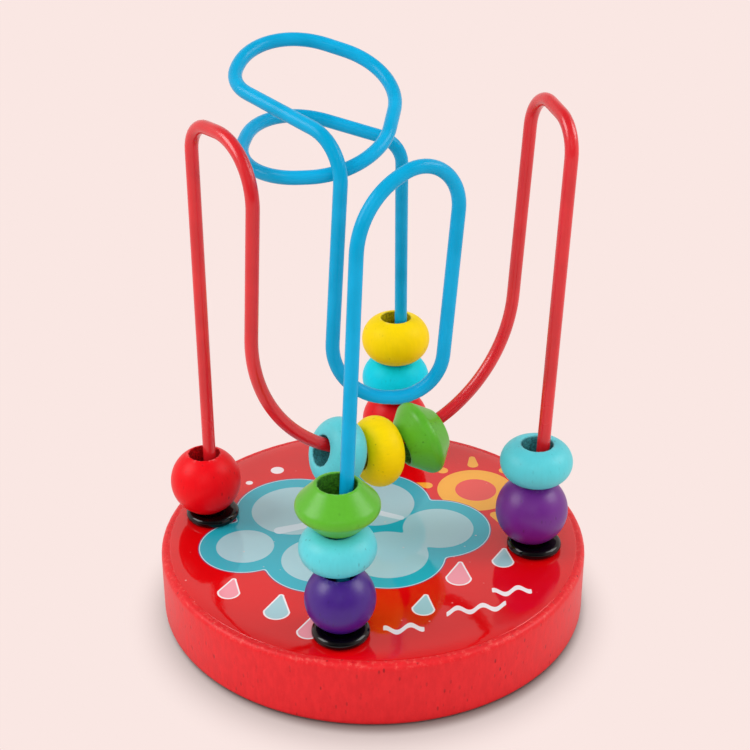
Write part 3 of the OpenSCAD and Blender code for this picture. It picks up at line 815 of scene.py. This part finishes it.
def along_valley(node):
    """Axes of a bead that hangs in the valley: its bore lies along the bend, square to the line to the
    bend's middle."""
    low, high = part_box(node)
    out = unit((np.array(low) + np.array(high)) / 2 - valley_middle)
    return [valley_axis, -out, np.cross(valley_axis, -out)]


# Each finish: colour, depth of the lathe lines, darkness of the pores, roughness and shine
satin = {
    "red": bead_paint("bead red", BEAD_RED, 0.5, 0.55, 0.38, 0.18),
    "purple": bead_paint("bead purple", BEAD_PURPLE, 0.3, 0.45, 0.36, 0.50),
    "violet": bead_paint("bead violet", BEAD_VIOLET, 0.3, 0.45, 0.38, 0.50),
    "teal": bead_paint("bead teal", BEAD_TEAL, 0.3, 0.60, 0.42, 0.40),
    "deep teal": bead_paint("bead deep teal", BEAD_DEEP_TEAL, 0.3, 0.5, 0.45, 0.12),
    "green": bead_paint("bead green", BEAD_GREEN, 0.6, 0.5, 0.32, 0.32),
    "yellow": bead_paint("bead yellow", BEAD_YELLOW, 0.3, 0.35, 0.45, 0.10),
}
ball, small_ball = ball_flank(BALL_D, BALL_BORE), ball_flank(SMALL_BALL_D, BALL_BORE)
ring, front_ring, back_ring = ring_flank(RING_H), ring_flank(FRONT_RING_H), ring_flank(BACK_RING_H)
cone = cone_flank()
# node, body, flank, rim round, rim roughness, finish, slot, hangs in the valley
beads = [
    ("ball_left_red", "left_red", ball, 0.35, 0.14, "red", "bead_red", False),
    ("ball_right_purple", "right_purple", ball, 0.35, 0.05, "violet", "bead_purple", False),
    ("ring_right_teal", "right_teal", ring, 0.40, 0.06, "teal", "bead_teal", False),
    ("ball_front_purple", "front_purple", small_ball, 0.35, 0.05, "purple", "bead_purple", False),
    ("ring_front_teal", "front_teal", front_ring, 0.40, 0.06, "teal", "bead_teal", False),
    ("cone_front_green", "front_green", cone, 0.30, 0.09, "green", "bead_green", False),
    ("ball_back_red", "back_red", ball, 0.35, 0.08, "red", "bead_red", False),
    ("ring_back_teal", "back_teal", back_ring, 0.40, 0.06, "deep teal", "bead_teal", False),
    ("ring_back_yellow", "back_yellow", back_ring, 0.40, 0.06, "yellow", "bead_yellow", False),
    ("ring_valley_teal", "valley_teal", ring, 0.40, 0.06, "teal", "bead_teal", True),
    ("ring_valley_yellow", "valley_yellow", ring, 0.40, 0.05, "yellow", "bead_yellow", True),
    ("cone_valley_green", "valley_green", cone, 0.30, 0.09, "green", "bead_green", True),
]
FIRST_SEED = 11
for seed, (node, body, flank, rim, rough_rim, finish, slot, hangs) in enumerate(beads):
    axes = along_valley(node) if hangs else None
    bead = turn_bead("turned_" + node, node, body, flank, rim, seed + FIRST_SEED, rough_rim, axes)
    paint(bead, satin[finish])


# Floor, light and camera

# Half width of the floor in metres, the colour of the shadow painted on it against the base, and where its
# lit part fades, in millimetres
FLOOR_HALF, FLOOR_PAINTED_SHADOW, FLOOR_FADE = 4.0, srgb(172, 146, 142), (41.5, 53.0)
# Light of the room on dull surfaces, and its darker parts in reflections
ROOM_FILL, ROOM_TOP, ROOM_FRONT = (0.52, 0.51, 0.51, 1.0), (0.16, 0.16, 0.17, 1.0), (0.10, 0.10, 0.11, 1.0)
# Lens and sensor in millimetres, tilt in degrees, then in metres the distance to the point looked at, its
# height on the part's axis, and the camera's step aside
CAMERA_LENS, CAMERA_SENSOR, CAMERA_TILT = 72.0, 36.0, 27.4
CAMERA_FAR, CAMERA_AIM_H, CAMERA_ASIDE = 0.3035, 0.0528, 0.00041
# What the softboxes aim at, in metres
MIDDLE = (0, 0, 0.04)


def turned_to_view(x, y, z):
    """A point given in the photograph's own frame, x to the right and y away."""
    c, s = math.cos(VIEW_TURN), math.sin(VIEW_TURN)
    return (x * c - y * s, x * s + y * c, z)


def lay_floor():
    """A wide pale floor: lit and shaded beside the base, with a painted contact shadow against it, mostly in
    front, fading to its own even colour farther out."""
    w = FLOOR_HALF
    mesh = bpy.data.meshes.new("studio_floor")
    mesh.from_pydata([(-w, -w, 0), (w, -w, 0), (w, w, 0), (-w, w, 0)], [], [(0, 1, 2, 3)])
    floor = bpy.data.objects.new("studio_floor", mesh)
    bpy.context.scene.collection.objects.link(floor)
    made, bench, skin_node = material("studio floor")
    spot = bench.turned(bench.millimetres(), -VIEW_TURN)
    # Painted contact shadow: a darker ring round the base, stretched and set off so that it is narrower at
    # the sides and darker in front
    beside = bench.gap(bench.stretch(spot, (1.035, 1.0, 1.0)), (0.8, -0.3, 0.0))
    past_painted_shadow = bench.blend(beside, BASE_D / 2 - 0.5, BASE_D / 2 + 2.6)
    bench.feed(skin_node.inputs["Base Color"], bench.mix(past_painted_shadow, FLOOR_PAINTED_SHADOW, darker(BACKDROP, 0.94)))
    skin_node.inputs["Roughness"].default_value = 1.0
    skin_node.inputs["Specular IOR Level"].default_value = 0.0
    even = bench.put("ShaderNodeEmission", {"Color": BACKDROP, "Strength": 1.0})
    path = bench.put("ShaderNodeLightPath")
    seen = bench.math("MAXIMUM", path.outputs["Is Camera Ray"], path.outputs["Is Glossy Ray"])
    seen = bench.math("MAXIMUM", seen, path.outputs["Is Transmission Ray"])
    away = bench.blend(bench.gap(bench.millimetres(), turned_to_view(0.0, -5.0, 0.0)), *FLOOR_FADE)
    share = bench.math("MULTIPLY", seen, away)
    both = bench.put("ShaderNodeMixShader", {0: share, 1: skin_node.outputs[0], 2: even.outputs[0]})
    out = made.node_tree.nodes["Material Output"]
    made.node_tree.links.new(both.outputs[0], out.inputs["Surface"])
    mesh.materials.append(made)
    return floor


def set_in_view(holder, right, up, back, place):
    """Places a lamp or camera by its axes and its place."""
    columns = np.stack([right, up, back, place], 1).astype(float)
    holder.matrix_world = Matrix([tuple(row) for row in columns.tolist()] + [(0, 0, 0, 1)])


def hang_softbox(name, place, aim, wide, high, watts):
    """A rectangular soft light at a place in the photograph's frame, turned to what it aims at."""
    lamp = bpy.data.lights.new(name, "AREA")
    lamp.shape = "RECTANGLE"
    lamp.size, lamp.size_y = wide, high
    lamp.energy = watts
    holder = bpy.data.objects.new(name, lamp)
    bpy.context.scene.collection.objects.link(holder)
    start, end = np.array(turned_to_view(*place)), np.array(turned_to_view(*aim))
    back = unit(start - end)
    right = unit(np.cross([0, 0, 1.0], back)) if abs(back[2]) < 0.99 else np.array([1.0, 0, 0])
    set_in_view(holder, right, np.cross(back, right), back, start)
    return holder


def keep_off(lamp, piece):
    """Keeps a lamp's light off one piece."""
    spared = bpy.data.collections.new(lamp.name + "_spares")
    spared.objects.link(piece)
    lamp.light_linking.receiver_collection = spared
    spared.collection_objects[0].light_linking.link_state = "EXCLUDE"


def light_only(lamp, piece):
    """Gives a lamp's light to one piece alone."""
    chosen = bpy.data.collections.new(lamp.name + "_lights")
    chosen.objects.link(piece)
    lamp.light_linking.receiver_collection = chosen


def light_room():
    """An even soft room: pale to the eye, darker overhead and towards its open front in reflections."""
    world = bpy.data.worlds.new("studio")
    bpy.context.scene.world = world
    world.use_nodes = True
    bench = Bench(world.node_tree)
    background = world.node_tree.nodes["Background"]
    path = bench.put("ShaderNodeLightPath")
    way = bench.put("ShaderNodeTexCoord").outputs["Generated"]
    rise = bench.put("ShaderNodeSeparateXYZ", {0: way}).outputs[2]
    mirrored = bench.mix(bench.blend(rise, 0.45, 0.95), BACKDROP, ROOM_TOP)
    forward = bench.dot(way, turned_to_view(0.0, -1.0, 0.0))
    mirrored = bench.mix(bench.blend(forward, 0.35, 0.85), mirrored, ROOM_FRONT)
    glossy = bench.math("MAXIMUM", path.outputs["Is Glossy Ray"], path.outputs["Is Transmission Ray"])
    fill = bench.mix(glossy, ROOM_FILL, mirrored)
    bench.feed(background.inputs["Color"], bench.mix(path.outputs["Is Camera Ray"], fill, BACKDROP))
    background.inputs["Strength"].default_value = 1.0


def set_camera():
    """The photograph's camera: it looks down on a point of the part's axis from the front."""
    tilt, far = math.radians(CAMERA_TILT), CAMERA_FAR
    eye = bpy.data.cameras.new("photo_camera")
    eye.lens, eye.sensor_width, eye.sensor_fit = CAMERA_LENS, CAMERA_SENSOR, "HORIZONTAL"
    eye.clip_start, eye.clip_end = 0.01, 20.0
    holder = bpy.data.objects.new("photo_camera", eye)
    bpy.context.scene.collection.objects.link(holder)
    right = turned_to_view(1, 0, 0)
    up = turned_to_view(0, math.sin(tilt), math.cos(tilt))
    back = turned_to_view(0, -math.cos(tilt), math.sin(tilt))
    place = turned_to_view(CAMERA_ASIDE, -far * math.cos(tilt), CAMERA_AIM_H + far * math.sin(tilt))
    set_in_view(holder, right, up, back, place)
    bpy.context.scene.camera = holder


floor = lay_floor()
keep_off(hang_softbox("left_softbox", (-0.72, -0.10, 0.64), MIDDLE, 0.50, 0.50, 4.0), floor)
keep_off(hang_softbox("right_softbox", (0.74, 0.05, 0.60), MIDDLE, 0.50, 0.50, 3.3), floor)
front_fill = hang_softbox("front_fill", (0.0, -1.1, 0.75), MIDDLE, 0.9, 0.6, 5.0)
front_fill.visible_glossy = False
keep_off(front_fill, floor)
light_only(hang_softbox("sheet_light", (0.0, 0.0, 1.0), (0, 0, 0), 3.0, 3.0, 21.8), floor)
light_room()
set_camera()
bpy.context.scene.view_settings.view_transform = "Standard"
